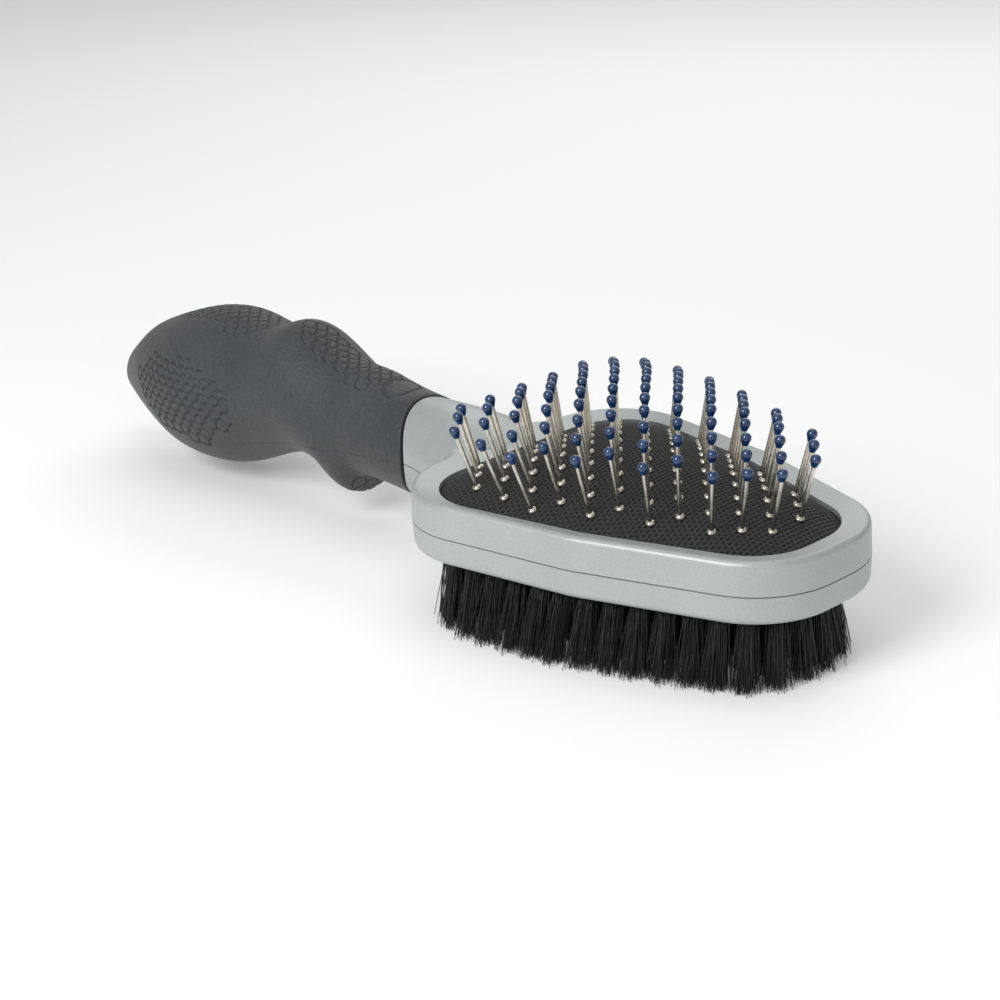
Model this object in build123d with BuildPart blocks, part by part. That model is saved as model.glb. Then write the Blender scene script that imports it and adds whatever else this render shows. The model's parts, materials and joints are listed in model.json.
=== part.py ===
from build123d import *
import math
import os

# Two-sided pet brush: ball-tipped pins on an air cushion above, a trimmed bristle field below.
# Millimetres. +X runs along the brush towards the head's tip, +Z is the pin side, and the
# origin lies on the plane that the bristle ends stand on, under the middle of the length.

# Overall sizes
LENGTH = 240.6
TIP_X = LENGTH / 2
BUTT_X = -LENGTH / 2
FRAME_BOTTOM_Z = 16.8
SEAM_Z = 23.2
SEAM_GAP = 0.24
RING_INNER_Z = 29.5
RING_OUTER_Z = 30.5

# Head outlines: hulls of mirrored pairs of circles (x, y, radius)
OPENING = [(44.0, 17.9, 14.2), (72.0, 14.8, 12.0), (99.7, 2.8, 14.5)]
TIP_R = 19.4
OUTER = [(42.0, 18.4, 18.6), (72.0, 14.8, 17.5), (TIP_X - TIP_R, 3.3, TIP_R)]
WALL_DRAFT = 0.25
RIM_ROUND = 1.3
DISH_INSET = 1.3
BASE_ROUND = 2.0
SEAT_GROW = 2.3
FIT_GAP = 0.05

# Cushion
LIP_T = 1.1
RIM_T = 1.4
DOME_EDGE_Z = RING_INNER_Z - LIP_T
DOME_H = 7.5
DOME_CENTRE_X = 60.0
DOME_POWER = 2.2
DOME_STEPS = (1.0, 0.93, 0.84, 0.72, 0.58, 0.42, 0.25, 0.08)
DOME_FIT = 0.998
MEMBRANE_T = 1.2
MEMBRANE_SIDE = 0.985
RING_T = 1.7
RING_INSIDE = 0.94
TRAY_T = 1.5

# Pins: rows parallel to X, every other row moved half a pitch along
PIN_PITCH = 8.3
ROW_PITCH = 4.32
PIN_X0 = 35.7
MIDDLE_ROW = 6
ROW_SPANS = {0: (1, 3), 1: (0.5, 4.5), 2: (0, 6), 3: (0.5, 7.5), 4: (1, 8), 5: (0.5, 8.5), 6: (1, 8)}
PIN_R = 0.5
PIN_L = 14.0
PIN_COLLAR_R = 1.05
PIN_COLLAR_FOOT = 0.2
PIN_COLLAR_TOP = 1.0
PIN_COLLAR_BULGE = (0.88, 0.75)
PIN_HEAD_R = 1.2
PIN_HEAD_TOP = -1.65
PIN_HEAD_BOTTOM = -2.1
PIN_HOLE_R = 0.62
SPLAY_X = 0.0585 / PIN_PITCH
SPLAY_Y = 0.1162 / PIN_PITCH
SPLAY_CENTRE_X = 71.0
SPLAY_START_X = 20.0
SPLAY_FULL_X = 55.0
BALL_R = 1.15
BALL_TAIL = 1.55
BALL_TAIL_R = 0.64
BALL_UNDER = 35
BALL_BORE_R = 0.52
BALL_BORE_TOP = -0.45
WIRE_TOP = -0.5

# Bristle side
BLOCK_LIP_T = 2.0
BLOCK_INSET = 0.3
BLOCK_PROUD = 0.4
TUFT_PITCH = 6.0
TUFT_ROOT_R = 1.5
TUFT_END_R = 2.6
TUFT_DEPTH = 3.5
TUFT_HOLE_R = 1.6
TUFT_MARGIN = 7.4
TUFT_ROWS_EACH_SIDE = 5
TUFT_ROW_SHARE = 0.9
TUFT_X0 = 30.0
TUFT_COLUMNS = 16
BORDER_INSET = 2.7
BORDER_TUFTS = 40
FLARE_X = 0.02
FLARE_Y = 0.17
FLARE_START_X = 30.0
FLARE_FULL_X = 60.0
FLARE_CENTRE_X = 72.0
ANCHOR_SIZE = (2.4, 0.4, 1.2)

# Neck: sections (x, half width, half height) from the round collar to the flat head
NECK_SECTIONS = [
    (-4.0, 11.4, 11.4),
    (2.0, 12.0, 11.7),
    (7.0, 12.5, 11.8),
    (12.0, 13.8, 11.6),
    (17.5, 15.6, 10.8),
    (23.0, 17.4, 9.0),
    (30.0, 18.6, 6.3),
]
NECK_BLEND = 4.5
SPIGOT_R = 8.0
SPIGOT_CLEAR = 0.1
SPIGOT_END_X = 18.0
SPIGOT_START_X = -9.0

# Collar joint: both ends follow one upright cylinder, so the line is swept back at top and bottom
COLLAR_X = -0.8
COLLAR_SWEEP_R = 17.0
COLLAR_GAP = 0.6
SWEEP_X = COLLAR_X + COLLAR_SWEEP_R

# Handle: sections (x, top and bottom above the seam plane, half width) from butt to collar
HANDLE_SECTIONS = [
    (BUTT_X, -5.2, -9.0, 1.6),
    (-118.6, -1.6, -10.0, 3.3),
    (-115.5, 2.0, -10.8, 5.5),
    (-110.0, 6.2, -12.3, 8.4),
    (-103.0, 11.0, -14.6, 11.7),
    (-95.0, 14.6, -17.2, 14.8),
    (-86.0, 17.8, -19.5, 17.6),
    (-77.0, 20.1, -20.2, 18.8),
    (-69.0, 20.6, -19.5, 18.6),
    (-62.0, 19.8, -17.6, 17.4),
    (-54.0, 19.7, -14.4, 15.9),
    (-49.5, 20.8, -12.7, 15.4),
    (-45.0, 22.2, -11.4, 15.0),
    (-40.0, 21.4, -10.6, 14.6),
    (-35.0, 19.0, -11.1, 14.2),
    (-30.0, 16.7, -13.3, 13.6),
    (-26.0, 15.6, -16.6, 13.1),
    (-23.0, 15.3, -16.6, 12.8),
    (-19.0, 14.9, -12.2, 12.4),
    (-14.0, 13.9, -11.1, 12.1),
    (-7.0, 12.6, -11.4, 12.0),
    (0.0, 12.0, -12.0, 11.9),
    (6.0, 11.8, -12.2, 11.9),
]
GRIP_END_ROUND = 0.8
RUBBER_T = 3.2
CORE_FIRST = 3
CORE_LAST = -3


def grown(circles, grow):
    """Draw the hull of mirrored circles, grown outward by the given amount."""
    for x, y, r in circles:
        with Locations((x, y), (x, -y)):
            Circle(r + grow)
    make_hull()


def shrunk(share):
    """Draw the cushion opening scaled about the dome's centre."""
    for x, y, r in OPENING:
        cx = DOME_CENTRE_X + (x - DOME_CENTRE_X) * share
        with Locations((cx, y * share), (cx, -y * share)):
            Circle(r * share)
    make_hull()


def outline_reach():
    """Directions all round, each with how far the cushion opening reaches in it."""
    reaches = []
    for step in range(180):
        a = math.radians(2 * step)
        nx, ny = math.cos(a), math.sin(a)
        reaches.append((nx, ny, max(cx * nx + abs(cy * ny) + r for cx, cy, r in OPENING)))
    return reaches


REACHES = outline_reach()


def edge_distance(x, y):
    """Distance of a point outside (+) or inside (-) the cushion opening."""
    return max(x * nx + y * ny - reach for nx, ny, reach in REACHES)


def dome_share(x, y):
    """How far out a point lies on the dome: 0 at the crown, 1 at the edge."""
    dx = x - DOME_CENTRE_X
    return max((dx * nx + y * ny) / (reach - DOME_CENTRE_X * nx) for nx, ny, reach in REACHES)


def dome_z(share):
    """Height of the cushion's top at a share of the way out."""
    return DOME_EDGE_Z + DOME_H * (1 - share ** DOME_POWER)


def ramp(x, start, full):
    """Rises from 0 at the start to 1 at the full place."""
    return min(max((x - start) / (full - start), 0), 1)


def save(piece, name):
    """Label a finished piece and write it as its own file."""
    piece.part.label = name
    export_step(piece.part, f"parts/{name}.step")


def pin_locations(row):
    """Places of one row's pins on the dome, each leaning outward from the middle."""
    low, high = ROW_SPANS[min(row, 2 * MIDDLE_ROW - row)]
    places = []
    for n in range(int(high - low) + 1):
        x = PIN_X0 + (low + n) * PIN_PITCH
        y = (row - MIDDLE_ROW) * ROW_PITCH
        spread = ramp(x, SPLAY_START_X, SPLAY_FULL_X)
        lean = (SPLAY_X * (x - SPLAY_CENTRE_X), SPLAY_Y * spread * y, 1)
        base = Plane(origin=(x, y, dome_z(dome_share(x, y))), z_dir=lean)
        places.append(base.location)
    return places


def inner_tuft_rows():
    """Places of the inner tufts, row by row along X, inside the border tufts."""
    rows = []
    for r in range(-TUFT_ROWS_EACH_SIDE, TUFT_ROWS_EACH_SIDE + 1):
        y = r * TUFT_PITCH * TUFT_ROW_SHARE
        start = TUFT_X0 + TUFT_PITCH / 2 * (r % 2)
        xs = [start + n * TUFT_PITCH for n in range(TUFT_COLUMNS)]
        row = [(x, y) for x in xs if edge_distance(x, y) < -TUFT_MARGIN]
        if row:
            rows.append(row)
    return rows


def border_tufts():
    """Places of the tufts that follow the outline, evenly spaced round it."""
    with BuildSketch() as inset:
        grown(OPENING, -BORDER_INSET)
    line = inset.sketch.faces()[0].outer_wire()
    points = [line @ (n / BORDER_TUFTS) for n in range(BORDER_TUFTS)]
    return [(p.X, p.Y) for p in points]


def tuft_end(x, y):
    """Where a tuft's trimmed end is centred: it spreads sideways, most towards the tip."""
    spread = ramp(x, FLARE_START_X, FLARE_FULL_X)
    return (x + FLARE_X * (x - FLARE_CENTRE_X), y + FLARE_Y * spread * y)


def handle_ellipse(top, bottom, half_width, inset):
    """Draw one cross-section of the handle, shrunk by the inset."""
    with Locations((0, SEAM_Z + (top + bottom) / 2)):
        Ellipse(half_width - inset, (top - bottom) / 2 - inset)


os.makedirs("parts", exist_ok=True)

PIN_ROWS = range(2 * MIDDLE_ROW + 1)
ALL_PINS = [place for row in PIN_ROWS for place in pin_locations(row)]
TUFT_ROWS = [*inner_tuft_rows(), border_tufts()]
TUFT_NAMES = [f"row_{n:02d}" for n in range(1, len(TUFT_ROWS))] + ["border"]
ALL_TUFTS = [place for row in TUFT_ROWS for place in row]

# --- Neck solid, shared by both shells and split at the seam ---
UPPER_Z = SEAM_Z + SEAM_GAP / 2
LOWER_Z = SEAM_Z - SEAM_GAP / 2
with BuildPart() as collar_cut:
    with Locations((SWEEP_X, 0, SEAM_Z)):
        Box(LENGTH, LENGTH, LENGTH, align=(Align.MAX, Align.CENTER, Align.CENTER))
        Cylinder(COLLAR_SWEEP_R, LENGTH, mode=Mode.SUBTRACT)
with BuildPart() as neck:
    for x, half_w, half_h in NECK_SECTIONS:
        with BuildSketch(Plane.YZ.offset(x)):
            with Locations((0, SEAM_Z)):
                Ellipse(half_w, half_h)
    loft()
    add(collar_cut.part, mode=Mode.SUBTRACT)
with BuildPart() as neck_top:
    add(neck.part)
    split(bisect_by=Plane.XY.offset(UPPER_Z), keep=Keep.TOP)
with BuildPart() as neck_bottom:
    add(neck.part)
    split(bisect_by=Plane.XY.offset(LOWER_Z), keep=Keep.BOTTOM)
with BuildPart() as spigot_seat:
    with BuildSketch(Plane.YZ.offset(SPIGOT_START_X)):
        with Locations((0, SEAM_Z)):
            Circle(SPIGOT_R + SPIGOT_CLEAR)
    extrude(amount=SPIGOT_END_X + SPIGOT_CLEAR - SPIGOT_START_X)


def creases(shell):
    """The two upright edges where the neck meets the head's wall."""
    def is_crease(edge):
        box = edge.bounding_box()
        tall = box.max.Z - box.min.Z > BASE_ROUND
        return tall and NECK_SECTIONS[-3][0] < edge.center().X < NECK_SECTIONS[-1][0]
    return shell.edges().filter_by(is_crease)


# --- Upper shell: ring round the cushion and top half of the neck ---
with BuildPart() as upper_shell:
    with BuildSketch(Plane.XY.offset(UPPER_Z)):
        grown(OUTER, 0)
    with BuildSketch(Plane.XY.offset(RING_OUTER_Z)):
        grown(OUTER, -WALL_DRAFT)
    loft(ruled=True)
    add(neck_top.part)
    fillet(creases(upper_shell), NECK_BLEND)
    fillet(upper_shell.faces().filter_by(Axis.Z).sort_by(Axis.Z)[-1].edges(), RIM_ROUND)
    # The ring's top slopes down to the opening
    with BuildSketch(Plane.XY.offset(RING_INNER_Z)):
        grown(OPENING, 0)
    with BuildSketch(Plane.XY.offset(RING_OUTER_Z)):
        grown(OUTER, -DISH_INSET)
    loft(ruled=True, mode=Mode.SUBTRACT)
    add(neck_top.part)
    with BuildSketch(Plane.XY.offset(UPPER_Z)):
        grown(OPENING, SEAT_GROW)
    extrude(amount=DOME_EDGE_Z - UPPER_Z, mode=Mode.SUBTRACT)
    with BuildSketch(Plane.XY.offset(DOME_EDGE_Z - LIP_T)):
        grown(OPENING, 0)
    extrude(amount=4 * DOME_H, mode=Mode.SUBTRACT)
    add(spigot_seat.part, mode=Mode.SUBTRACT)
save(upper_shell, "upper_shell")

# --- Lower shell: surround of the bristle block and bottom half of the neck ---
with BuildPart() as lower_shell:
    with BuildSketch(Plane.XY.offset(LOWER_Z)):
        grown(OUTER, 0)
    with BuildSketch(Plane.XY.offset(FRAME_BOTTOM_Z)):
        grown(OUTER, -WALL_DRAFT)
    loft(ruled=True)
    fillet(lower_shell.faces().sort_by(Axis.Z)[0].edges(), BASE_ROUND)
    add(neck_bottom.part)
    fillet(creases(lower_shell), NECK_BLEND)
    with BuildSketch(Plane.XY.offset(FRAME_BOTTOM_Z + BLOCK_LIP_T)):
        grown(OPENING, SEAT_GROW)
    extrude(amount=RING_OUTER_Z - FRAME_BOTTOM_Z, mode=Mode.SUBTRACT)
    with BuildSketch(Plane.XY.offset(0)):
        grown(OPENING, -BLOCK_INSET + FIT_GAP)
    extrude(amount=RING_OUTER_Z, mode=Mode.SUBTRACT)
    add(spigot_seat.part, mode=Mode.SUBTRACT)
save(lower_shell, "lower_shell")

# --- Cushion membrane: domed rubber with a clamped rim and a hole for every pin ---
with BuildPart() as cushion_membrane:
    with BuildSketch(Plane.XY.offset(DOME_EDGE_Z - RIM_T)):
        grown(OPENING, SEAT_GROW - FIT_GAP)
    extrude(amount=RIM_T - FIT_GAP)
    for share in DOME_STEPS:
        with BuildSketch(Plane.XY.offset(dome_z(share) - FIT_GAP)):
            shrunk(share * DOME_FIT)
    loft(ruled=True)
    for share in DOME_STEPS:
        with BuildSketch(Plane.XY.offset(dome_z(share) - MEMBRANE_T)):
            shrunk(share * MEMBRANE_SIDE)
    loft(ruled=True, mode=Mode.SUBTRACT)
    with BuildSketch(Plane.XY.offset(DOME_EDGE_Z - RIM_T)):
        shrunk(MEMBRANE_SIDE)
    extrude(amount=RIM_T - MEMBRANE_T, mode=Mode.SUBTRACT)
    with Locations(*ALL_PINS):
        Cylinder(PIN_HOLE_R, 4 * MEMBRANE_T, mode=Mode.SUBTRACT)
save(cushion_membrane, "cushion_membrane")

# --- Clamp ring under the membrane's rim ---
CLAMP_TOP_Z = DOME_EDGE_Z - RIM_T - FIT_GAP
with BuildPart() as cushion_clamp_ring:
    with BuildSketch(Plane.XY.offset(CLAMP_TOP_Z - RING_T)):
        grown(OPENING, SEAT_GROW - FIT_GAP)
        with BuildSketch(Plane.XY, mode=Mode.PRIVATE) as ring_inside:
            shrunk(RING_INSIDE)
        add(ring_inside.sketch, mode=Mode.SUBTRACT)
    extrude(amount=RING_T)
save(cushion_clamp_ring, "cushion_clamp_ring")

# --- Air chamber tray: floor under the cushion ---
TRAY_TOP_Z = CLAMP_TOP_Z - RING_T - FIT_GAP
with BuildPart() as air_chamber_tray:
    with BuildSketch(Plane.XY.offset(TRAY_TOP_Z - TRAY_T)):
        grown(OPENING, SEAT_GROW - FIT_GAP)
    extrude(amount=TRAY_T)
save(air_chamber_tray, "air_chamber_tray")

# --- Pin: one wire with a flat head under the membrane and a domed collar above it ---
with BuildPart() as pin_pattern:
    with Locations((0, 0, PIN_HEAD_BOTTOM)):
        Cylinder(PIN_R, PIN_L + WIRE_TOP - PIN_HEAD_BOTTOM, align=(Align.CENTER, Align.CENTER, Align.MIN))
        Cylinder(PIN_HEAD_R, PIN_HEAD_TOP - PIN_HEAD_BOTTOM, align=(Align.CENTER, Align.CENTER, Align.MIN))
    with BuildSketch(Plane.XZ):
        with BuildLine():
            ThreePointArc((PIN_COLLAR_R, PIN_COLLAR_FOOT), PIN_COLLAR_BULGE, (PIN_R, PIN_COLLAR_TOP))
            Polyline((PIN_R, PIN_COLLAR_TOP), (0, PIN_COLLAR_TOP), (0, PIN_COLLAR_FOOT),
                     (PIN_COLLAR_R, PIN_COLLAR_FOOT))
        make_face()
    revolve(axis=Axis.Z)

# --- Ball tip: a teardrop drawn down over the end of the wire ---
TAIL_Z = PIN_L - BALL_TAIL
with BuildPart() as tip_pattern:
    with BuildSketch(Plane.XZ):
        with BuildLine():
            ball = CenterArc((0, PIN_L), BALL_R, -BALL_UNDER, 90 + BALL_UNDER)
            Polyline(ball @ 0, (BALL_TAIL_R, TAIL_Z), (BALL_BORE_R, TAIL_Z),
                     (BALL_BORE_R, PIN_L + BALL_BORE_TOP), (0, PIN_L + BALL_BORE_TOP), (0, PIN_L + BALL_R))
        make_face()
    revolve(axis=Axis.Z)

for row in PIN_ROWS:
    with BuildPart() as pin_row:
        with Locations(*pin_locations(row)):
            add(pin_pattern.part)
    save(pin_row, f"pin_row_{row + 1:02d}")
    with BuildPart() as tip_row:
        with Locations(*pin_locations(row)):
            add(tip_pattern.part)
    save(tip_row, f"ball_tips_row_{row + 1:02d}")

# --- Bristle block: flanged plate drilled for the tufts ---
BLOCK_BOTTOM_Z = FRAME_BOTTOM_Z - BLOCK_PROUD
BLOCK_TOP_Z = LOWER_Z - FIT_GAP
HOLE_TOP_Z = BLOCK_BOTTOM_Z + TUFT_DEPTH + ANCHOR_SIZE[2]
with BuildPart() as bristle_block:
    with BuildSketch(Plane.XY.offset(FRAME_BOTTOM_Z + BLOCK_LIP_T + FIT_GAP)):
        grown(OPENING, SEAT_GROW - FIT_GAP)
    extrude(amount=BLOCK_TOP_Z - FRAME_BOTTOM_Z - BLOCK_LIP_T - FIT_GAP)
    with BuildSketch(Plane.XY.offset(BLOCK_BOTTOM_Z)):
        grown(OPENING, -BLOCK_INSET)
    extrude(amount=BLOCK_PROUD + BLOCK_LIP_T + FIT_GAP)
    with BuildSketch(Plane.XY.offset(BLOCK_BOTTOM_Z)):
        with Locations(*ALL_TUFTS):
            Circle(TUFT_HOLE_R)
    extrude(amount=HOLE_TOP_Z - BLOCK_BOTTOM_Z, mode=Mode.SUBTRACT)
save(bristle_block, "bristle_block")

# --- Tuft rows: each tuft is set in its hole and spreads outward to the trimmed plane ---
for name, row in zip(TUFT_NAMES, TUFT_ROWS):
    with BuildPart() as tuft_row:
        for x, y in row:
            with BuildSketch(Plane.XY.offset(BLOCK_BOTTOM_Z)):
                with Locations((x, y)):
                    Circle(TUFT_ROOT_R)
            with BuildSketch(Plane.XY):
                with Locations(tuft_end(x, y)):
                    Circle(TUFT_END_R)
            loft()
            with BuildSketch(Plane.XY.offset(BLOCK_BOTTOM_Z)):
                with Locations((x, y)):
                    Circle(TUFT_ROOT_R)
            extrude(amount=TUFT_DEPTH)
    save(tuft_row, f"bristle_tufts_{name}")

# --- Wire anchors that hold the folded tufts in their holes ---
with BuildPart() as tuft_anchors:
    with Locations(*[(x, y, HOLE_TOP_Z - ANCHOR_SIZE[2] / 2 - FIT_GAP) for x, y in ALL_TUFTS]):
        Box(ANCHOR_SIZE[0], ANCHOR_SIZE[1], ANCHOR_SIZE[2] - 2 * FIT_GAP)
save(tuft_anchors, "tuft_anchors")

# --- Handle core: stiff tang inside the grip, with a spigot held in the neck ---
with BuildPart() as handle_core:
    for x, top, bottom, half_width in HANDLE_SECTIONS[CORE_FIRST:CORE_LAST]:
        with BuildSketch(Plane.YZ.offset(x)):
            handle_ellipse(top, bottom, half_width, RUBBER_T)
    loft()
    with BuildSketch(Plane.YZ.offset(HANDLE_SECTIONS[CORE_LAST - 1][0] - 1)):
        with Locations((0, SEAM_Z)):
            Circle(SPIGOT_R)
    extrude(amount=SPIGOT_END_X - HANDLE_SECTIONS[CORE_LAST - 1][0] + 1)
save(handle_core, "handle_core")

# --- Rubber grip: moulded over the core, open only where the spigot leaves ---
with BuildPart() as rubber_grip:
    for x, top, bottom, half_width in HANDLE_SECTIONS:
        with BuildSketch(Plane.YZ.offset(x)):
            handle_ellipse(top, bottom, half_width, 0)
    loft()
    with Locations((SWEEP_X, 0, SEAM_Z)):
        Cylinder(COLLAR_SWEEP_R + COLLAR_GAP, LENGTH, mode=Mode.SUBTRACT)
    mouth = rubber_grip.edges().sort_by(Axis.X)[-1]
    fillet(mouth, GRIP_END_ROUND)
    add(handle_core.part, mode=Mode.SUBTRACT)
save(rubber_grip, "rubber_grip")
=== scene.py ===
import bpy
import json
import math
import numpy as np
from mathutils import Matrix, Vector


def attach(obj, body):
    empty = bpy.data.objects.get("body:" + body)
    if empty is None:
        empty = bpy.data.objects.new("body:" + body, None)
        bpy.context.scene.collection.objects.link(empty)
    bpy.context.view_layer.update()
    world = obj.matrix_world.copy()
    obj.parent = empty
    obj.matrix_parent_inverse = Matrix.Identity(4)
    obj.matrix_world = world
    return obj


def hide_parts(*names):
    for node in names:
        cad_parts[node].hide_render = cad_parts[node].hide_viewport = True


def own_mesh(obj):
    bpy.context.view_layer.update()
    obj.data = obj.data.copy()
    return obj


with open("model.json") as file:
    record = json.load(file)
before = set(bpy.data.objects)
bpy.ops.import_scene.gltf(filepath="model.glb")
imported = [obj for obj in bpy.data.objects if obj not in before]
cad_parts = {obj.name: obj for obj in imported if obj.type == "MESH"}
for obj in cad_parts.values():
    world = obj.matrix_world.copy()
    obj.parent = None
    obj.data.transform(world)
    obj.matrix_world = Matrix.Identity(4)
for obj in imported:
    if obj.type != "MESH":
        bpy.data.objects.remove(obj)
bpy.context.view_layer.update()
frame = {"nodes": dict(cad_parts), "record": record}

MM = 0.001

# Head outline: mirrored circles (x, y, radius) round the cushion opening, in millimetres
OPENING = [(44.0, 17.9, 14.2), (72.0, 14.8, 12.0), (99.7, 2.8, 14.5)]
SEAM_Z = 23.2
BLOCK_BOTTOM_Z = 16.4

# Cushion: a dome whose top is woven into ribs along Y and links along X
DOME_EDGE_Z = 28.4
DOME_H = 7.5
DOME_CENTRE_X = 60.0
DOME_POWER = 2.2
RIB_PITCH = 1.1
LINK_PITCH = 1.3
WEAVE_H = 0.45
WEAVE_FADE = 0.8
MEMBRANE_HEM = 1.2
MEMBRANE_T = 1.3
MEMBRANE_X = (28.6, 116.0)
MEMBRANE_HALF_Y = 33.4
GRID_PER_PITCH = 6

# Tufts: the same places and flare as the CAD's. BORDER_START is how far round the outline the
# first border tuft stands from the tip's +Y corner.
TUFT_PITCH = 6.0
TUFT_ROW_SHARE = 0.9
TUFT_ROWS_EACH_SIDE = 5
TUFT_COLUMNS = 16
TUFT_X0 = 30.0
TUFT_MARGIN = 7.4
BORDER_INSET = 2.7
BORDER_TUFTS = 40
BORDER_START = 0.81
FLARE_X = 0.02
FLARE_Y = 0.17
FLARE_START_X = 30.0
FLARE_FULL_X = 60.0
FLARE_CENTRE_X = 72.0

# Strands: radii at four levels, and how far they spread and stray at their roots and ends
STRANDS_PER_TUFT = 150
STRAND_LEVELS = np.array([0.0, 0.35, 0.7, 1.0])
STRAND_RADII = np.array([0.14, 0.13, 0.11, 0.08])
STRAND_CORNERS = np.radians([90, 210, 330])
STRAND_SEED = 7
ROOT_SPREAD = 1.9
ROOT_DEPTH = 1.5
END_SPREAD = 2.6
END_CROSS = 0.9
STRAY_CHANCE = 0.03
STRAY_REACH = 0.8
BEND_SPREAD = 0.3
BEND_SHARE = 0.25
TRIM_SPREAD = 0.25
TRIM_LIMITS = (0.02, 1.3)

# Handle: sections (x, top and bottom above the seam plane, half width), in millimetres
HANDLE_SECTIONS = [
    (-120.3, -5.2, -9.0, 1.6),
    (-118.6, -1.6, -10.0, 3.3),
    (-115.5, 2.0, -10.8, 5.5),
    (-110.0, 6.2, -12.3, 8.4),
    (-103.0, 11.0, -14.6, 11.7),
    (-95.0, 14.6, -17.2, 14.8),
    (-86.0, 17.8, -19.5, 17.6),
    (-77.0, 20.1, -20.2, 18.8),
    (-69.0, 20.6, -19.5, 18.6),
    (-62.0, 19.8, -17.6, 17.4),
    (-54.0, 19.7, -14.4, 15.9),
    (-49.5, 20.8, -12.7, 15.4),
    (-45.0, 22.2, -11.4, 15.0),
    (-40.0, 21.4, -10.6, 14.6),
    (-35.0, 19.0, -11.1, 14.2),
    (-30.0, 16.7, -13.3, 13.6),
    (-26.0, 15.6, -16.6, 13.1),
    (-23.0, 15.3, -16.6, 12.8),
    (-19.0, 14.9, -12.2, 12.4),
    (-14.0, 13.9, -11.1, 12.1),
    (-7.0, 12.6, -11.4, 12.0),
    (0.0, 12.0, -12.0, 11.9),
    (6.0, 11.8, -12.2, 11.9),
]
GRIP_SAMPLES = 900
GRIP_TURNS = 400

# The grip's mouth follows the collar's swept line, and closes round the spigot
SWEEP_X = 16.2
GRIP_SWEEP_R = 17.6
SWEEP_HALF_Y = 12.5
SWEEP_FADE_X = -22
SWEEP_FADE = 20
GRIP_END_ROUND = 0.9
SPIGOT_R = 8.0
SPIGOT_CLEARANCE = 0.4

# Debossed scale patches on the grip, as corners in millimetres
SIDE_PATCH = [(-99, 1), (-87, 8), (-72, 10.5), (-57.5, 5), (-57.5, -3), (-69, -10.5), (-84, -8)]
BULB_PATCH = [(-90, 2), (-84, 6), (-58, 7.5), (-53, 3), (-53, -3), (-58, -7.5), (-84, -6), (-90, -2)]
NECK_PATCH = [(-42, 2), (-37, 4.5), (-16, 5.5), (-13, 3), (-13, -3), (-16, -5.5), (-37, -4.5), (-42, -2)]
FINGER_PATCH = [(-27, 6), (-19, 6), (-19, -6), (-27, -6)]
SCALE_PITCH = 3.5
SCALE_R = 2.0
SCALE_ROW = 1.9
GROOVE_W = 0.5
GROOVE_DEPTH = 0.55
SIDE_PATCH_Y = 9
TOP_PATCH_RISE = 3
FINGER_PATCH_RISE = -8

# A plain oval ring on top of the grip, and the mould line along its sides
OVAL_X = -9.0
OVAL_HALF_X = 3.6
OVAL_HALF_Y = 5.0
OVAL_MEAN_R = 4.2
OVAL_GROOVE_W = 0.45
MOULD_LINE_X = [-62, -30, 0]
MOULD_LINE_RISE = [-9.5, -3.6, 0.0]
MOULD_LINE_W = 0.25
MOULD_LINE_DEPTH = 0.12
MOULD_LINE_FADE = 10
MOULD_LINE_Y = 6

# Camera, in degrees and metres
CAMERA_AZIMUTH = 47.1
CAMERA_ELEVATION = 21.48
CAMERA_ROLL = -2.87
CAMERA_PLACE = (0.36567, -0.31849, 0.19945)
CAMERA_LENS = 79.44

DIRECTIONS = np.radians(np.arange(0, 360, 2))
NORMALS = np.stack([np.cos(DIRECTIONS), np.sin(DIRECTIONS)], axis=1)
REACH = np.max([cx * NORMALS[:, 0] + np.abs(cy * NORMALS[:, 1]) + r for cx, cy, r in OPENING], axis=0)


def edge_distance(points):
    """Distance of (x, y) points outside (+) or inside (-) the cushion opening, in millimetres."""
    return np.max(points @ NORMALS.T - REACH, axis=1)


def dome_share(points):
    """How far out (x, y) points lie on the dome: 0 at the crown, 1 at the opening's edge."""
    centre = np.array([DOME_CENTRE_X, 0.0])
    return np.max(((points - centre) @ NORMALS.T) / (REACH - centre @ NORMALS.T), axis=1)


# ---------------------------------------------------------------- materials

def new_material(name, colour, roughness, metallic=0.0):
    """A principled material, with its node tree, tree links and shader."""
    m = bpy.data.materials.new(name)
    m.use_nodes = True
    shader = m.node_tree.nodes["Principled BSDF"]
    shader.inputs["Base Color"].default_value = (*colour, 1)
    shader.inputs["Roughness"].default_value = roughness
    shader.inputs["Metallic"].default_value = metallic
    return m, m.node_tree, shader


def noise(tree, scale, detail=4.0, rough=0.6):
    """Object-space noise."""
    coords = tree.nodes.new("ShaderNodeTexCoord")
    tex = tree.nodes.new("ShaderNodeTexNoise")
    tex.inputs["Scale"].default_value = scale
    tex.inputs["Detail"].default_value = detail
    tex.inputs["Roughness"].default_value = rough
    tree.links.new(coords.outputs["Object"], tex.inputs["Vector"])
    return tex.outputs["Fac"]


def colour_between(tree, factor, low, high, start=0.3, end=0.7):
    """A colour ramp over a factor."""
    ramp = tree.nodes.new("ShaderNodeValToRGB")
    ramp.color_ramp.elements[0].position = start
    ramp.color_ramp.elements[1].position = end
    ramp.color_ramp.elements[0].color = (*low, 1)
    ramp.color_ramp.elements[1].color = (*high, 1)
    tree.links.new(factor, ramp.inputs["Fac"])
    return ramp.outputs["Color"]


def value_between(tree, factor, low, high):
    """A factor remapped to a range."""
    node = tree.nodes.new("ShaderNodeMapRange")
    node.inputs["To Min"].default_value = low
    node.inputs["To Max"].default_value = high
    tree.links.new(factor, node.inputs["Value"])
    return node.outputs["Result"]


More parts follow.
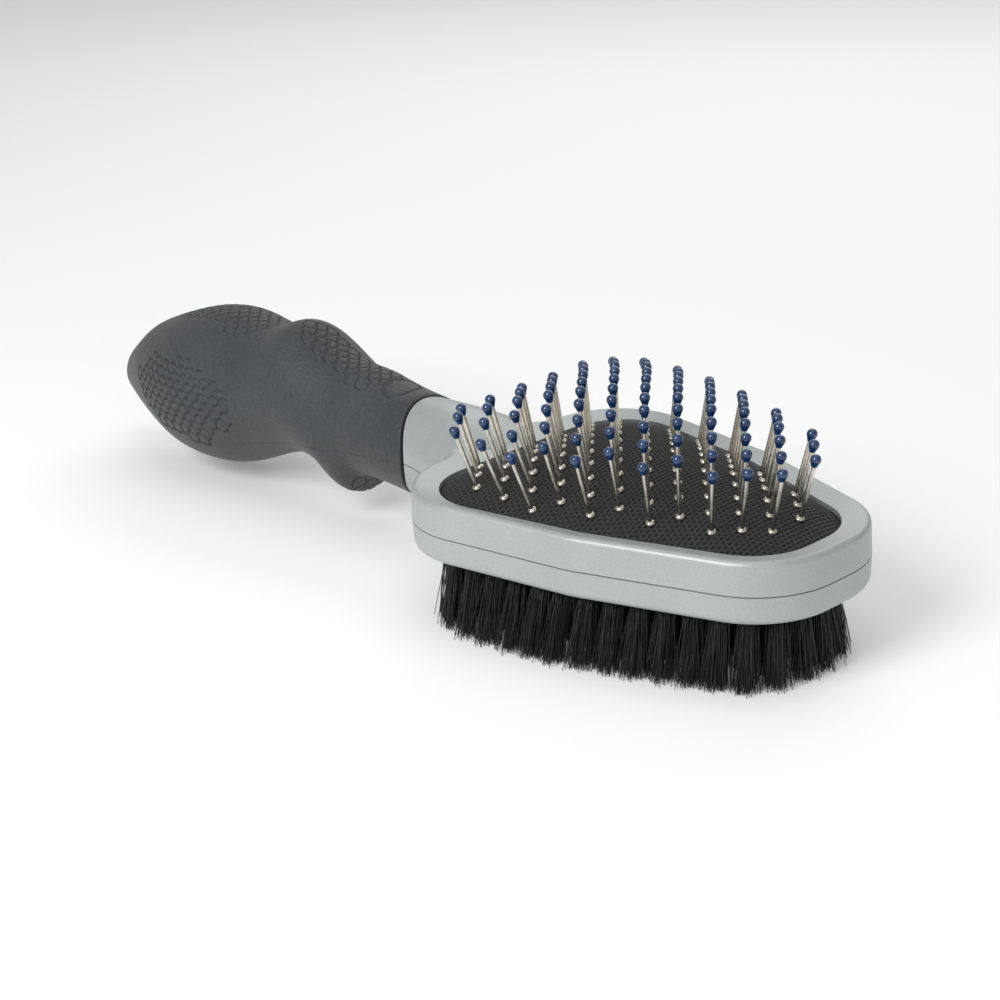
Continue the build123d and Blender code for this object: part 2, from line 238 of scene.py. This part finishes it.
def bump(tree, shader, height, strength, distance):
    """A bump from a height, in metres of depth."""
    node = tree.nodes.new("ShaderNodeBump")
    node.inputs["Strength"].default_value = strength
    node.inputs["Distance"].default_value = distance
    tree.links.new(height, node.inputs["Height"])
    tree.links.new(node.outputs["Normal"], shader.inputs["Normal"])


def maths(tree, operation, first, second=None):
    """One maths node on an output, with a second output or number."""
    node = tree.nodes.new("ShaderNodeMath")
    node.operation = operation
    tree.links.new(first, node.inputs[0])
    if isinstance(second, float):
        node.inputs[1].default_value = second
    elif second is not None:
        tree.links.new(second, node.inputs[1])
    return node.outputs[0]


def mixed_noise(tree, fine, coarse):
    """Half of each of two noises, added."""
    return maths(tree, "ADD", value_between(tree, fine, 0.0, 0.5), value_between(tree, coarse, 0.0, 0.5))


def silver_material():
    """Satin silver paint with a fine flake."""
    m, tree, shader = new_material("silver_satin", (0.4, 0.43, 0.43), 0.42, 0.35)
    flake = noise(tree, 2600, 2.0)
    cloud = noise(tree, 30, 3.0)
    mixed = mixed_noise(tree, flake, cloud)
    colour = colour_between(tree, mixed, (0.34, 0.368, 0.368), (0.45, 0.478, 0.476))
    tree.links.new(colour, shader.inputs["Base Color"])
    tree.links.new(value_between(tree, cloud, 0.38, 0.5), shader.inputs["Roughness"])
    bump(tree, shader, flake, 0.05, 0.00004)
    return m


def grip_material():
    """Dark grey rubber with a fine leathery grain."""
    m, tree, shader = new_material("grip_rubber", (0.07, 0.078, 0.082), 0.62)
    grain = noise(tree, 1100, 3.0)
    cloud = noise(tree, 45, 4.0)
    mixed = mixed_noise(tree, grain, cloud)
    colour = colour_between(tree, mixed, (0.024, 0.029, 0.031), (0.046, 0.053, 0.056), 0.35, 0.65)
    tree.links.new(colour, shader.inputs["Base Color"])
    tree.links.new(value_between(tree, cloud, 0.5, 0.65), shader.inputs["Roughness"])
    bump(tree, shader, grain, 0.9, 0.0003)
    shader.inputs["Sheen Weight"].default_value = 0.08
    shader.inputs["Sheen Roughness"].default_value = 0.5
    return m


def cushion_material():
    """Black rubber with painted shade in the holes of its weave: paler on the threads than in the holes.
    """
    m, tree, shader = new_material("cushion_rubber", (0.02, 0.02, 0.021), 0.5)
    coords = tree.nodes.new("ShaderNodeTexCoord")
    split = tree.nodes.new("ShaderNodeSeparateXYZ")
    tree.links.new(coords.outputs["Object"], split.inputs["Vector"])
    along = maths(tree, "DIVIDE", split.outputs["X"], RIB_PITCH * MM)
    rib = maths(tree, "ABSOLUTE", maths(tree, "COSINE", maths(tree, "MULTIPLY", along, math.pi)))
    shift = maths(tree, "MULTIPLY", maths(tree, "FLOOR", along), math.pi / 2)
    across = maths(tree, "MULTIPLY", split.outputs["Y"], math.pi / (LINK_PITCH * MM))
    link = maths(tree, "ABSOLUTE", maths(tree, "COSINE", maths(tree, "ADD", across, shift)))
    weave = maths(tree, "MAXIMUM", maths(tree, "POWER", rib, 1.5), maths(tree, "POWER", link, 4.0))
    # painted shade: the weave's low spots (its holes) get a darker colour than its raised threads
    colour = colour_between(tree, weave, (0.003, 0.003, 0.003), (0.03, 0.03, 0.031), 0.3, 0.95)
    tree.links.new(colour, shader.inputs["Base Color"])
    grain = noise(tree, 900, 3.0)
    tree.links.new(value_between(tree, grain, 0.5, 0.65), shader.inputs["Roughness"])
    shader.inputs["Specular IOR Level"].default_value = 0.35
    bump(tree, shader, grain, 0.2, 0.00005)
    return m


def steel_material():
    """Bright drawn wire."""
    m, tree, shader = new_material("pin_steel", (0.66, 0.62, 0.56), 0.2, 1.0)
    streak = noise(tree, 700, 2.0)
    colour = colour_between(tree, streak, (0.50, 0.47, 0.41), (0.72, 0.68, 0.61))
    tree.links.new(colour, shader.inputs["Base Color"])
    tree.links.new(value_between(tree, streak, 0.12, 0.26), shader.inputs["Roughness"])
    return m


def tip_material():
    """Glossy dark blue drops."""
    m, tree, shader = new_material("tip_blue", (0.003, 0.03, 0.1), 0.12)
    cloud = noise(tree, 260, 2.0)
    colour = colour_between(tree, cloud, (0.001, 0.022, 0.085), (0.003, 0.038, 0.13))
    tree.links.new(colour, shader.inputs["Base Color"])
    tree.links.new(value_between(tree, cloud, 0.1, 0.2), shader.inputs["Roughness"])
    shader.inputs["Coat Weight"].default_value = 0.8
    shader.inputs["Coat Roughness"].default_value = 0.05
    return m


def bristle_material():
    """Black nylon strands."""
    m, tree, shader = new_material("bristle_black", (0.012, 0.012, 0.013), 0.34)
    strand = noise(tree, 420, 2.0)
    colour = colour_between(tree, strand, (0.003, 0.003, 0.004), (0.018, 0.018, 0.02))
    tree.links.new(colour, shader.inputs["Base Color"])
    tree.links.new(value_between(tree, strand, 0.24, 0.45), shader.inputs["Roughness"])
    return m


def block_material():
    """Black plastic of the parts inside."""
    m, tree, shader = new_material("block_plastic", (0.01, 0.01, 0.011), 0.55)
    grain = noise(tree, 1200, 3.0)
    colour = colour_between(tree, grain, (0.006, 0.006, 0.007), (0.016, 0.016, 0.017))
    tree.links.new(colour, shader.inputs["Base Color"])
    tree.links.new(value_between(tree, grain, 0.45, 0.65), shader.inputs["Roughness"])
    bump(tree, shader, grain, 0.2, 0.00005)
    return m


MATERIALS = {
    "silver_shell": silver_material(),
    "grip_rubber": grip_material(),
    "cushion_rubber": cushion_material(),
    "pin_steel": steel_material(),
    "tip_blue": tip_material(),
    "bristle": bristle_material(),
    "block_plastic": block_material(),
    "core_plastic": block_material(),
}


def paint_nodes():
    """Every CAD node gets its slot's material."""
    slots = {s["node"]: s["material_slot"] for s in frame["record"]["subparts"]}
    for name, node in frame["nodes"].items():
        node.data.materials.clear()
        node.data.materials.append(MATERIALS[slots[name]])


# ---------------------------------------------------------------- mesh pieces

def mesh_piece(name, verts, faces, slot):
    """A smooth-shaded mesh object in metres from vertices in millimetres."""
    mesh = bpy.data.meshes.new(name)
    mesh.from_pydata([tuple(v) for v in np.asarray(verts) * MM], [], faces)
    mesh.validate()
    mesh.update()
    mesh.polygons.foreach_set("use_smooth", [True] * len(mesh.polygons))
    obj = bpy.data.objects.new(name, mesh)
    bpy.context.scene.collection.objects.link(obj)
    mesh.materials.append(MATERIALS[slot])
    return obj


def natural_spline(xs, ys, at):
    """Natural cubic spline through (xs, ys), read at the given places."""
    xs, ys = np.asarray(xs, float), np.asarray(ys, float)
    n = len(xs)
    h = np.diff(xs)
    a = np.zeros((n, n))
    b = np.zeros(n)
    a[0, 0] = a[-1, -1] = 1.0
    for i in range(1, n - 1):
        a[i, i - 1], a[i, i], a[i, i + 1] = h[i - 1], 2 * (h[i - 1] + h[i]), h[i]
        b[i] = 6 * ((ys[i + 1] - ys[i]) / h[i] - (ys[i] - ys[i - 1]) / h[i - 1])
    m = np.linalg.solve(a, b)
    k = np.clip(np.searchsorted(xs, at) - 1, 0, n - 2)
    t = at - xs[k]
    u = xs[k + 1] - at
    return (m[k] * u ** 3 + m[k + 1] * t ** 3) / (6 * h[k]) + (ys[k] / h[k] - m[k] * h[k] / 6) * u \
        + (ys[k + 1] / h[k] - m[k + 1] * h[k] / 6) * t


def inside_polygon(u, v, corners):
    """Which points lie inside a convex polygon given clockwise or anticlockwise."""
    corners = np.array(corners, float)
    centre = corners.mean(axis=0)
    inside = np.ones(np.shape(u), bool)
    for p, q in zip(corners, np.roll(corners, -1, axis=0)):
        normal = np.array([q[1] - p[1], p[0] - q[0]])
        side = (u - p[0]) * normal[0] + (v - p[1]) * normal[1]
        inside &= side * ((centre - p) @ normal) >= 0
    return inside


def scale_groove(u, v, corners):
    """Depth of the grooves between overlapping round scales whose centres lie in the patch."""
    depth = np.zeros(np.shape(u))
    owned = np.zeros(np.shape(u), bool)
    first = np.ceil((v - SCALE_R) / SCALE_ROW)
    for extra in range(3):
        row = first + extra
        shift = SCALE_PITCH / 2 * np.mod(row, 2)
        cu = np.round((u - shift) / SCALE_PITCH) * SCALE_PITCH + shift
        cv = row * SCALE_ROW
        reach = np.hypot(u - cu, v - cv)
        mine = (reach < SCALE_R) & ~owned & inside_polygon(cu, cv, corners)
        groove = np.clip(1 - ((SCALE_R - reach - GROOVE_W / 2) / (GROOVE_W / 2)) ** 2, 0, 1)
        slope = 0.25 * np.clip(reach / SCALE_R, 0, 1) ** 2
        depth = np.where(mine, groove + slope, depth)
        owned |= mine
    return GROOVE_DEPTH * depth


def grip_relief(x, y, z):
    """How far the grip's surface is sunk at each point: scale patches, a ring and the mould line."""
    rise = z - SEAM_Z
    side = np.abs(y) > SIDE_PATCH_Y
    upward = rise > TOP_PATCH_RISE
    under = rise < FINGER_PATCH_RISE
    sunk = np.where(side, scale_groove(x, rise, SIDE_PATCH), 0)
    for region, patch in ((upward, BULB_PATCH), (upward, NECK_PATCH), (under, FINGER_PATCH)):
        sunk = np.maximum(sunk, np.where(region, scale_groove(y, x, [(q, p) for p, q in patch]), 0))
    oval = np.abs(np.hypot((x - OVAL_X) / OVAL_HALF_X, y / OVAL_HALF_Y) - 1) * OVAL_MEAN_R
    ring = GROOVE_DEPTH * np.clip(1 - (oval / OVAL_GROOVE_W) ** 2, 0, 1)
    sunk = np.maximum(sunk, np.where(upward, ring, 0))
    line = np.abs(rise - np.interp(x, MOULD_LINE_X, MOULD_LINE_RISE))
    fade = np.clip((x - MOULD_LINE_X[0]) / MOULD_LINE_FADE, 0, 1)
    crease = np.clip(1 - line / MOULD_LINE_W, 0, 1) * (np.abs(y) > MOULD_LINE_Y) * fade
    return sunk + MOULD_LINE_DEPTH * crease


def make_grip():
    """The rubber grip's skin, with its debossed patches and rounded mouth."""
    table = np.array(HANDLE_SECTIONS)
    middle = (table[:, 1] + table[:, 2]) / 2
    tall = (table[:, 1] - table[:, 2]) / 2
    length = np.concatenate([[0], np.cumsum(np.hypot(np.diff(table[:, 0]), np.diff(tall)))])
    along = np.linspace(0, length[-1], GRIP_SAMPLES)
    curves = [natural_spline(length, column, along) for column in (table[:, 0], middle, tall, table[:, 3])]
    mouth_x = SWEEP_X - GRIP_SWEEP_R
    body = curves[0] < mouth_x - GRIP_END_ROUND
    stations = [[column[k] for column in curves] + [0.0] for k in np.nonzero(body)[0][::2]]
    end = [np.interp(mouth_x, curves[0], column) for column in curves]
    for turn in np.radians([0, 15, 30, 45, 60, 75, 90]):
        inset = GRIP_END_ROUND * (1 - math.cos(turn))
        stations.append([mouth_x - GRIP_END_ROUND * (1 - math.sin(turn))] + end[1:] + [inset])
    stations.append([mouth_x] + end[1:] + [end[3] - SPIGOT_R - SPIGOT_CLEARANCE])
    stations = np.array(stations)
    turns = GRIP_TURNS
    theta = np.linspace(0, 2 * math.pi, turns, endpoint=False)
    x = np.repeat(stations[:, :1], turns, axis=1)
    half_y = (stations[:, 3] - stations[:, 4])[:, None]
    half_z = (stations[:, 2] - stations[:, 4])[:, None]
    centre = (SEAM_Z + stations[:, 1])[:, None]
    y = half_y * np.cos(theta)
    z = centre + half_z * np.sin(theta)
    sunk = grip_relief(x, y, z) * (x < mouth_x - 1.5)
    normal = np.stack([np.cos(theta) / half_y, np.sin(theta) / half_z])
    normal = normal / np.linalg.norm(normal, axis=0)
    y = y - sunk * normal[0]
    z = z - sunk * normal[1]
    sweep = SWEEP_X - np.sqrt(GRIP_SWEEP_R ** 2 - np.minimum(np.abs(y), SWEEP_HALF_Y) ** 2) - mouth_x
    x = x + sweep * np.clip((x - SWEEP_FADE_X) / SWEEP_FADE, 0, 1) ** 2
    verts = np.stack([x, y, z], axis=2).reshape(-1, 3)
    rows = len(stations)
    faces = ring_faces(rows, turns)
    butt, heart = len(verts), len(verts) + 1
    ends = [(stations[0, 0] - 0.05, 0, centre[0, 0]), (mouth_x, 0, centre[-1, 0])]
    verts = np.concatenate([verts, ends])
    last = (rows - 1) * turns
    for j in range(turns):
        k = (j + 1) % turns
        faces.append((butt, j, k))
        faces.append((heart, last + k, last + j))
    grip = mesh_piece("grip_skin", verts, faces, "grip_rubber")
    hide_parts("rubber_grip")
    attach(grip, "brush_frame")


def ring_faces(rows, turns):
    """Faces between consecutive rings of vertices."""
    faces = []
    for i in range(rows - 1):
        for j in range(turns):
            k = (j + 1) % turns
            faces.append((i * turns + j, (i + 1) * turns + j, (i + 1) * turns + k, i * turns + k))
    return faces


def make_membrane():
    """The domed rubber cushion, its top woven into ribs and cross threads with holes between."""
    xs = np.arange(*MEMBRANE_X, RIB_PITCH / GRID_PER_PITCH)
    ys = np.arange(-MEMBRANE_HALF_Y, MEMBRANE_HALF_Y + 0.01, LINK_PITCH / GRID_PER_PITCH)
    gx, gy = np.meshgrid(xs, ys, indexing="ij")
    points = np.stack([gx.ravel(), gy.ravel()], axis=1)
    distance = edge_distance(points).reshape(gx.shape)
    inside = distance < MEMBRANE_HEM
    share = np.clip(dome_share(points), 0, 1).reshape(gx.shape)
    column = np.floor(gx / RIB_PITCH)
    rib = np.abs(np.cos(math.pi * gx / RIB_PITCH)) ** 1.5
    link = np.abs(np.cos(math.pi * (gy / LINK_PITCH + 0.5 * np.mod(column, 2)))) ** 4
    weave = np.maximum(rib, 0.85 * link) * np.clip(-distance / WEAVE_FADE, 0, 1)
    dome = DOME_EDGE_Z - 0.04 + DOME_H * (1 - share ** DOME_POWER)
    z = dome + WEAVE_H * (weave - 0.35) * (distance < 0)
    index = -np.ones(gx.shape, int)
    cells = inside[:-1, :-1] & inside[1:, :-1] & inside[1:, 1:] & inside[:-1, 1:]
    used = np.zeros(gx.shape, bool)
    for di, dj in ((0, 0), (1, 0), (1, 1), (0, 1)):
        used[di:di + cells.shape[0], dj:dj + cells.shape[1]] |= cells
    index[used] = np.arange(used.sum())
    verts = np.stack([gx[used], gy[used], z[used]], axis=1)
    i, j = np.nonzero(cells)
    quads = np.stack([index[i, j], index[i + 1, j], index[i + 1, j + 1], index[i, j + 1]], axis=1)
    faces = [tuple(q) for q in quads.tolist()]
    # close the sheet with a wall round its hem and a flat underside
    edges = {}
    for face in faces:
        edges.update(dict.fromkeys(zip(face, face[1:] + face[:1])))
    border = [(p, q) for p, q in edges if (q, p) not in edges]
    low = {}
    extra = []
    for p, _ in border:
        low[p] = len(verts) + len(extra)
        extra.append((verts[p][0], verts[p][1], DOME_EDGE_Z - MEMBRANE_T))
    heart = len(verts) + len(extra)
    extra.append((DOME_CENTRE_X, 0, DOME_EDGE_Z - MEMBRANE_T))
    for p, q in border:
        faces.append((q, p, low[p], low[q]))
        faces.append((low[q], low[p], heart))
    membrane = mesh_piece("cushion_dome", np.concatenate([verts, extra]), faces, "cushion_rubber")
    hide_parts("cushion_membrane")
    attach(membrane, "brush_frame")
    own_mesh(membrane)


def tuft_rows():
    """Places of the inner tufts row by row, then of the tufts that follow the outline, as in the CAD."""
    rows = []
    for r in range(-TUFT_ROWS_EACH_SIDE, TUFT_ROWS_EACH_SIDE + 1):
        y = r * TUFT_PITCH * TUFT_ROW_SHARE
        start = TUFT_X0 + TUFT_PITCH / 2 * (r % 2)
        row = np.array([(start + n * TUFT_PITCH, y) for n in range(TUFT_COLUMNS)])
        row = row[edge_distance(row) < -TUFT_MARGIN]
        if len(row):
            rows.append(row)
    fine = np.radians(np.arange(0, 360, 0.5))
    normals = np.stack([np.cos(fine), np.sin(fine)], axis=1)
    corners = []
    for normal in normals:
        reaches = [(cx * normal[0] + abs(cy * normal[1]) + r, cx, math.copysign(cy, normal[1]), r)
                   for cx, cy, r in OPENING]
        best = max(reaches)
        corners.append(np.array(best[1:3]) + (best[3] - BORDER_INSET) * normal)
    corners = np.array(corners + corners[:1])
    length = np.concatenate([[0], np.cumsum(np.linalg.norm(np.diff(corners, axis=0), axis=1))])
    at = (BORDER_START + np.linspace(0, length[-1], BORDER_TUFTS, endpoint=False)) % length[-1]
    rows.append(np.stack([np.interp(at, length, corners[:, k]) for k in (0, 1)], axis=1))
    return rows


def rod_faces(base):
    """Faces of one closed three-sided rod of four rings, whose vertices start at the base."""
    faces = [(base, base + 1, base + 2)]
    for ring in range(base, base + 9, 3):
        for c in range(3):
            d = (c + 1) % 3
            faces.append((ring + d, ring + c, ring + 3 + c, ring + 3 + d))
    faces.append((base + 11, base + 10, base + 9))
    return faces


def make_bristles():
    """Every tuft as a fan of fine strands, each a thin tapered rod."""
    rng = np.random.default_rng(STRAND_SEED)
    rows = tuft_rows()
    names = [f"row_{k:02d}" for k in range(1, len(rows))] + ["border"]
    for name, row in zip(names, rows):
        roots = np.repeat(row, STRANDS_PER_TUFT, axis=0)
        n = len(roots)
        turn = rng.uniform(0, 2 * math.pi, n)
        spread = np.sqrt(rng.uniform(0, 1, n))
        away = np.stack([np.cos(turn), np.sin(turn)], axis=1)
        stray = np.where(rng.uniform(0, 1, n) < STRAY_CHANCE, STRAY_REACH, 0.0)
        cross = rng.normal(0, END_CROSS, (n, 2))
        spreading = np.clip((roots[:, 0] - FLARE_START_X) / (FLARE_FULL_X - FLARE_START_X), 0, 1)
        ends = roots.copy()
        ends[:, 0] += FLARE_X * (roots[:, 0] - FLARE_CENTRE_X)
        ends[:, 1] += FLARE_Y * spreading * roots[:, 1]
        ends = ends + away * (END_SPREAD * spread + stray)[:, None] + cross
        starts = roots + away * (ROOT_SPREAD * spread)[:, None]
        bend = rng.normal(0, BEND_SPREAD, (n, 2))
        bend = bend + BEND_SHARE * (ends - starts) * rng.uniform(-0.3, 1.0, (n, 1))
        low = np.clip(np.abs(rng.normal(0, TRIM_SPREAD, n)), *TRIM_LIMITS)
        spin = rng.uniform(0, 2 * math.pi, n)
        drop = low - BLOCK_BOTTOM_Z - ROOT_DEPTH
        verts = np.zeros((n, len(STRAND_LEVELS), 3, 3))
        for k, (t, radius) in enumerate(zip(STRAND_LEVELS, STRAND_RADII)):
            mid = starts + (ends - starts) * t ** 1.15 + bend * t * (1 - t) * 2
            verts[:, k, :, 0] = mid[:, :1] + radius * np.cos(STRAND_CORNERS[None] + spin[:, None])
            verts[:, k, :, 1] = mid[:, 1:] + radius * np.sin(STRAND_CORNERS[None] + spin[:, None])
            verts[:, k, :, 2] = (BLOCK_BOTTOM_Z + ROOT_DEPTH + drop * t)[:, None]
        faces = []
        for s in range(n):
            faces.extend(rod_faces(12 * s))
        strands = mesh_piece(f"strands_{name}", verts.reshape(-1, 3), faces, "bristle")
        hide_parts(f"bristle_tufts_{name}")
        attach(strands, "brush_frame")


# ---------------------------------------------------------------- studio

def make_floor():
    """A plain white floor with a faint glow, which keeps it pale far from the lamps."""
    mesh = bpy.data.meshes.new("floor")
    size = 6.0
    corners = [(-size, -size, 0), (size, -size, 0), (size, size, 0), (-size, size, 0)]
    mesh.from_pydata(corners, [], [(0, 1, 2, 3)])
    floor = bpy.data.objects.new("floor", mesh)
    bpy.context.scene.collection.objects.link(floor)
    m, _, shader = new_material("floor_white", (0.9, 0.9, 0.9), 0.9)
    shader.inputs["Emission Color"].default_value = (1, 1, 1, 1)
    shader.inputs["Emission Strength"].default_value = 0.12
    mesh.materials.append(m)


def area_light(name, place, target, size, power):
    """A white rectangular lamp that faces the target."""
    data = bpy.data.lights.new(name, "AREA")
    data.shape = "RECTANGLE"
    data.size, data.size_y = size
    data.energy = power
    light = bpy.data.objects.new(name, data)
    light.location = place
    light.rotation_euler = (Vector(target) - Vector(place)).to_track_quat("-Z", "Y").to_euler()
    bpy.context.scene.collection.objects.link(light)


def make_lights():
    """A soft world, and four lamps round the brush."""
    world = bpy.data.worlds.new("studio")
    bpy.context.scene.world = world
    world.use_nodes = True
    world.node_tree.nodes["Background"].inputs["Color"].default_value = (1, 1, 1, 1)
    world.node_tree.nodes["Background"].inputs["Strength"].default_value = 0.42
    head = (0.02, 0, 0.03)
    area_light("key", (0.1, -0.6, 0.48), head, (0.35, 0.35), 3.8)
    area_light("fill", (0.75, -0.35, 0.3), head, (0.3, 0.3), 0.3)
    area_light("back", (-0.3, 0.6, 0.5), head, (0.7, 0.4), 1.4)
    area_light("top", (0.1, 0.0, 0.9), head, (0.6, 0.6), 1.0)


def make_camera():
    """The camera stands to the front right of the tip, a little above the brush."""
    azimuth, elevation, roll = np.radians([CAMERA_AZIMUTH, CAMERA_ELEVATION, CAMERA_ROLL])
    back = Vector((math.sin(azimuth) * math.cos(elevation), -math.cos(azimuth) * math.cos(elevation),
                   math.sin(elevation)))
    right = Vector((math.cos(azimuth), math.sin(azimuth), 0))
    up = back.cross(right)
    side = right * math.cos(roll) + up * math.sin(roll)
    top = up * math.cos(roll) - right * math.sin(roll)
    data = bpy.data.cameras.new("camera")
    data.lens = CAMERA_LENS
    data.sensor_width = 36
    data.clip_start, data.clip_end = 0.01, 50
    camera = bpy.data.objects.new("camera", data)
    turn = Matrix((side, top, back)).transposed().to_4x4()
    camera.matrix_world = Matrix.Translation(CAMERA_PLACE) @ turn
    bpy.context.scene.collection.objects.link(camera)
    bpy.context.scene.camera = camera


paint_nodes()
make_grip()
make_membrane()
make_bristles()
make_floor()
make_lights()
make_camera()
bpy.context.scene.view_settings.view_transform = "Standard"
